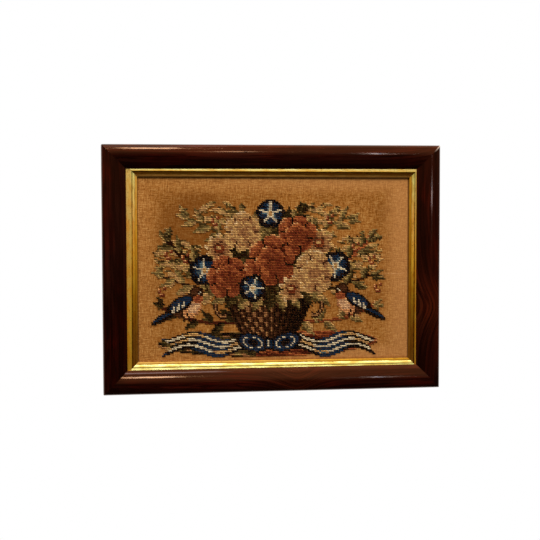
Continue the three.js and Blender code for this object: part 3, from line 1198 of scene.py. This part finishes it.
# One cross-stitch about its middle, facing -Y: two flattened strands, one over the other.
def buildStitch(sizes):
    bm = bmesh.new()
    strandMap = bm.loops.layers.uv.new("strand")
    halfLength = sizes["reach"] * sizes["pitch"] * math.sqrt(2)
    for lean, rise in ((-45, sizes["lowerRise"]), (45, sizes["upperRise"])):
        before = set(bm.verts)
        bmesh.ops.create_cone(bm, cap_ends=True, segments=5, radius1=0.5, radius2=0.5,
                              depth=2 * halfLength, matrix=Matrix.Rotation(math.radians(90), 4, "Y"))
        verts = [vert for vert in bm.verts if vert not in before]
        lengthwise = {edge for vert in verts for edge in vert.link_edges
                      if abs(edge.verts[0].co.x - edge.verts[1].co.x) > halfLength}
        bmesh.ops.subdivide_edges(bm, edges=list(lengthwise), cuts=2)
        verts = [vert for vert in bm.verts if vert not in before]
        for face in {face for vert in verts for face in vert.link_faces}:
            for loop in face.loops:
                x, y, z = loop.vert.co
                loop[strandMap].uv = (x, math.atan2(z, y) / math.tau * sizes["girth"])
        for vert in verts:
            t = vert.co.x / halfLength
            narrow, flat = 1 - sizes["taper"] * t * t, 1 - sizes["flattening"] * t * t
            forward = rise - (rise + sizes["endDepth"]) * t ** 4
            vert.co.z *= sizes["strandWidth"] * narrow
            vert.co.y = vert.co.y * sizes["strandThickness"] * flat - forward
        bmesh.ops.rotate(bm, verts=verts, matrix=Matrix.Rotation(math.radians(lean), 3, "Y"))
    stretchAll(bm, sizes["stretch"])
    faceOutwards(bm)
    stitch = bpy.data.meshes.new("one stitch")
    bm.to_mesh(stitch)
    bm.free()
    return stitch


def readAll(items, name, width=1, kind=float):  # one attribute of all of a mesh's parts
    values = np.zeros(len(items) * width, dtype=kind)
    items.foreach_get(name, values)
    return values


# All the stitches of one wool, joined in one mesh: each a copy of the stitch, a little
# turned, moved and scaled, with a tone of its own.
def stitchesOf(wool, stitch, sizes, draw):
    rows, columns = np.nonzero(chart == woolNames.index(wool))
    count = len(rows)
    base = readAll(stitch.vertices, "co", 3).reshape(-1, 3)
    corners = readAll(stitch.loops, "vertex_index", kind=int)
    starts = readAll(stitch.polygons, "loop_start", kind=int)
    strandMap = readAll(stitch.uv_layers["strand"].data, "uv", 2)

    places, tones = np.zeros((count, len(base), 3)), np.zeros(count)
    for k in range(count):
        x = sizes["designMiddle"].x + (columns[k] - (chartSizes["columns"] - 1) / 2) * sizes["pitch"]
        z = sizes["designMiddle"].z + (rows[k] - (chartSizes["rows"] - 1) / 2) * sizes["pitch"]
        lean = math.radians(draw.uniform(-sizes["lean"], sizes["lean"]))
        cosine, sine = math.cos(lean), math.sin(lean)
        turn = np.array([[cosine, 0, sine], [0, draw.uniform(*sizes["bulk"]), 0], [-sine, 0, cosine]])
        moved = (x + draw.uniform(-1, 1) * sizes["wander"], -linenRise(x, z),
                 z + draw.uniform(-1, 1) * sizes["wander"])
        places[k] = base @ turn.T * draw.uniform(*sizes["growth"]) + moved
        tones[k] = draw.random()
    places += np.array(pictureMiddle - Vector((0, linenFront, 0)))

    mesh = bpy.data.meshes.new("wool-" + wool)
    mesh.vertices.add(count * len(base))
    mesh.vertices.foreach_set("co", places.ravel())
    mesh.loops.add(count * len(corners))
    eachStitch = np.arange(count)[:, None]
    mesh.loops.foreach_set("vertex_index", (corners + eachStitch * len(base)).ravel())
    mesh.polygons.add(count * len(starts))
    mesh.polygons.foreach_set("loop_start", (starts + eachStitch * len(corners)).ravel())
    mesh.uv_layers.new(name="strand").data.foreach_set("uv", np.tile(strandMap, count))
    tone = mesh.attributes.new("tone", "FLOAT", "POINT")
    tone.data.foreach_set("value", np.repeat(tones, len(base)))
    mesh.update(calc_edges=True)
    mesh.validate()
    mesh.shade_smooth()
    return mesh


def woolMaterial(wool, fibreGroup):
    material, tree, shader = newMaterial("wool, " + wool, Roughness=0.9, Specular_IOR_Level=0.01,
                                         Sheen_Weight=0.02, Sheen_Roughness=0.4, Sheen_Tint="d09050")
    own = readAttribute(tree, "tone")
    fibres = useGroup(fibreGroup, {"Strand": readMap(tree, "strand"), "Seed": own})
    value = plus(addRange(own, 0.0, 1.0, 0.62, 1.36, smooth=False), fibres["Tone"])
    colour = workOn("HueSaturation", {
        "Hue": addRange(own, 0.0, 1.0, 0.492, 0.508, smooth=False),
        "Saturation": 0.95, "Value": value, "Color": wools[wool]}).outputs[0]
    plug(shader, Base_Color=colour, Normal=addBump(fibres["Height"], 0.5, 0.12 * mm))
    return material


# Twisted plies and loose fibres, from a map along and round a strand; the tone holds painted shade
# between the plies.
def buildFibreGroup():
    group, given, result = newGroup("wool fibres", {"Strand": None, "Seed": 0.0}, ["Height", "Tone"])
    parts = split(given["Strand"])
    twist = plus(times(parts["X"], 4200.0), times(parts["Y"], 4190.0))
    plies = addMath("ABSOLUTE", addMath("SINE", twist))
    place = join(times(parts["X"], 900.0), times(parts["Y"], 5200.0), times(given["Seed"], 40.0))
    fluff = addTexture(place, Detail=3.0, Roughness=0.65)["Fac"]
    height = plus(times(plies, 0.55), times(fluff, 0.6))
    # painted shade: darker in the grooves between the plies, and a tone of its own from the fluff
    tone = plus(addRange(plies, 0.0, 0.5, -0.14, 0.0), addRange(fluff, 0.3, 0.7, -0.12, 0.12))
    fillSockets(result, {"Height": height, "Tone": tone})
    return group


def buildWool():
    stitch = buildStitch(stitchSizes)
    fibreGroup = buildFibreGroup()
    draw = random.Random(stitchSizes["seed"])
    pieces = []
    for wool in woolNames:
        mesh = stitchesOf(wool, stitch, stitchSizes, draw)
        mesh.materials.append(woolMaterial(wool, fibreGroup))
        piece = bpy.data.objects.new("wool-" + wool, mesh)
        scene.collection.objects.link(piece)
        standFor(piece, [])
        pieces.append(piece)
    bpy.data.meshes.remove(stitch)
    return pieces


# Back board

boardSizes = {"chamfer": 0.5 * mm}


def buildBackBoard(material):
    lowest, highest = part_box("backboard")
    bm = bmesh.new()
    bmesh.ops.create_cube(bm, size=1)
    stretchAll(bm, highest - lowest)
    moveAll(bm, (lowest + highest) / 2)
    bmesh.ops.bevel(bm, geom=bm.edges[:], offset=boardSizes["chamfer"], offset_type="OFFSET",
                    segments=2, profile=0.5, affect="EDGES", material=-1)
    standFor(finishPiece("back-board", bm, [material]), ["backboard"])


# Stage and light

stageSizes = {
    "floorDrop": 0.24,              # below the picture
    "floorWidth": 1.3,
    "floorDepth": 0.95,
    "floorBack": 0.12,              # behind the wall
    "lampDistance": 20,             # of the reflected lamps
}
stageLook = {
    "floor": "e6e3de",
    "fill": (0.02, 0.85),           # light of the room on matt surfaces, from below and above
    "fillHeights": (-25.0, 55.0),   # degrees over level between which it grows
    "roomTint": (0.9, 0.6, 0.38, 1),
    "room": [(0.0, 0.01), (0.47, 0.01), (0.5, 0.07), (0.55, 0.3), (0.61, 0.6), (0.75, 0.6),
             (0.86, 1.3), (1.0, 1.3)],  # seen in the polish, from straight down to up
}

softLights = [
    {"name": "soft light", "place": Vector((0.1, -1.2, 1.55)), "size": 0.9, "power": 46},
    {"name": "soft light behind", "place": Vector((0.5, 1.4, 0.9)), "size": 1.2, "power": 26},
]
gildingLights = [  # glints that the gold alone shows
    {"place": Vector((0.1, -1.55, 1.15)), "size": 0.9, "power": 47, "colour": (0.86, 1.1, 1.85)},
    {"place": Vector((-1.5, -0.55, 0.35)), "size": 0.5, "power": 4, "colour": (0.9, 1.08, 1.6)},
    {"place": Vector((1.5, -0.55, 0.35)), "size": 0.5, "power": 4, "colour": (0.9, 1.08, 1.6)},
]
levelRails, uprightRails = ["top", "bottom"], ["left", "right"]
reflectedLights = [  # far lamps, seen only in the polish; degrees
    {"toRight": 2.5, "up": 35, "width": 2.6, "height": 8, "glow": 14, "colour": (1, 1.2, 1.15),
     "rails": levelRails + uprightRails},
    {"toRight": 6.6, "up": 17, "width": 1.7, "height": 5, "glow": 5, "colour": (1, 1.1, 1),
     "rails": ["top"]},
    {"toRight": 13.7, "up": 8, "width": 0.5, "height": 7, "glow": 8, "colour": (1, 1.7, 2.8),
     "rails": levelRails},
    {"toRight": 16.2, "up": 0.7, "width": 7, "height": 0.9, "glow": 4, "colour": (1, 1.6, 2.6),
     "rails": ["right"]},
    {"toRight": 5, "up": 60, "width": 6, "height": 7, "glow": 2, "colour": (1, 1.6, 2.6),
     "rails": levelRails + uprightRails},
]


def buildStage():
    sizes = stageSizes
    bm = bmesh.new()
    bmesh.ops.create_grid(bm, x_segments=1, y_segments=1, size=0.5)
    stretchAll(bm, (sizes["floorWidth"], sizes["floorDepth"], 1))
    middle = (0, sizes["floorBack"] - sizes["floorDepth"] / 2, cadBox[0].z - sizes["floorDrop"])
    moveAll(bm, middle)
    paint = newMaterial("floor paint", Base_Color=stageLook["floor"], Roughness=0.8,
                        Specular_IOR_Level=0.2)[0]
    floor = finishPiece("floor", bm, [paint])
    floor.visible_glossy = False  # the room below the picture is dark
    floor.visible_diffuse = False


def buildWorld():
    look = stageLook
    world = bpy.data.worlds.new("studio")
    world.use_nodes = True
    world.cycles.sampling_method = "NONE"
    scene.world = world
    tree = world.node_tree
    tree.nodes.clear()
    path = addNode(tree, "LightPath").outputs
    direction = split(addNode(tree, "TexCoord").outputs["Generated"])
    elevation = times(addMath("ARCSINE", direction["Z"]), 180 / math.pi)
    grey = addRange(elevation, *look["fillHeights"], *look["fill"])
    roomFill = workOn("CombineColor", {0: grey, 1: grey, 2: grey}).outputs[0]
    height = addRange(elevation, -90.0, 90.0, smooth=False)
    room = addMix(1.0, addRamp(height, look["room"]), look["roomTint"], "MULTIPLY")
    behind = addRange(direction["Y"], 0.0, 0.2)
    white = (1, 1, 1, 1)
    glossy = addMix(behind, room, white)
    light = addMix(path["Is Glossy Ray"], roomFill, glossy)
    colour = addMix(path["Is Camera Ray"], light, white)
    background = workOn("Background", {"Color": colour, "Strength": 1.0}).outputs[0]
    fillSockets(addNode(tree, "OutputWorld").inputs, {"Surface": background})


def addLamp(name, place, width, height, power, colour=(1, 1, 1)):  # aimed at the picture
    data = bpy.data.lights.new(name, "AREA")
    data.shape = "RECTANGLE"
    data.size, data.size_y = width, height
    data.energy = power
    data.color = colour
    lamp = bpy.data.objects.new(name, data)
    scene.collection.objects.link(lamp)
    lamp.location = pictureMiddle + place
    lamp.rotation_euler = (pictureMiddle - lamp.location).to_track_quat("-Z", "Y").to_euler()
    lamp.visible_camera = False
    return lamp


def buildLights():
    for light in softLights:
        lamp = addLamp(light["name"], light["place"], light["size"], light["size"], light["power"])
        lamp.visible_glossy = False
    for k, light in enumerate(gildingLights):
        lamp = addLamp(f"light in the gold {k + 1}", light["place"], light["size"], light["size"],
                       light["power"], light["colour"])
        lamp.visible_diffuse = False
        lamp.light_linking.receiver_collection = gildedPieces
        lamp.light_linking.blocker_collection = gildedPieces
    away = stageSizes["lampDistance"]
    for k, light in enumerate(reflectedLights):
        aside, rise = math.radians(light["toRight"]), math.radians(light["up"])
        width, height = (away * math.tan(math.radians(light[side])) for side in ("width", "height"))
        place = away * Vector((
            math.sin(aside) * math.cos(rise), -math.cos(aside) * math.cos(rise), math.sin(rise)))
        lamp = addLamp(f"reflected light {k + 1}", place, width, height,
                       light["glow"] * math.pi * width * height, light["colour"])
        lamp.visible_diffuse = False
        seenIn = bpy.data.collections.new(lamp.name)
        for side in light["rails"]:
            seenIn.children.link(polishedRails[side])
        lamp.light_linking.receiver_collection = seenIn


addCamera(cameraSetup)
buildStage()
buildWorld()
buildLights()
print("stage, lights and camera are up")

grainGroup = buildGrainGroup()
rosewood = rosewoodMaterial(grainGroup)
railBack = dealMaterial("deal, rail backs", grainGroup, "grain")
for seed, side in enumerate(sideTurns, 1):
    buildRail(side, seed, [rosewood, railBack])
print("rails mitred and polished")

gilt = giltMaterial()
for seed, side in enumerate(sideTurns, 1):
    buildSlip(side, seed, gilt)
print("slip gilded")

chartDesign()
linen = buildLinen(linenMaterial(buildWeaveGroup()))
wool = buildWool()
print(int((chart != bare).sum()), "stitches worked in", len(wool), "wools")

buildBackBoard(dealMaterial("deal, back board", grainGroup))
print("back closed")
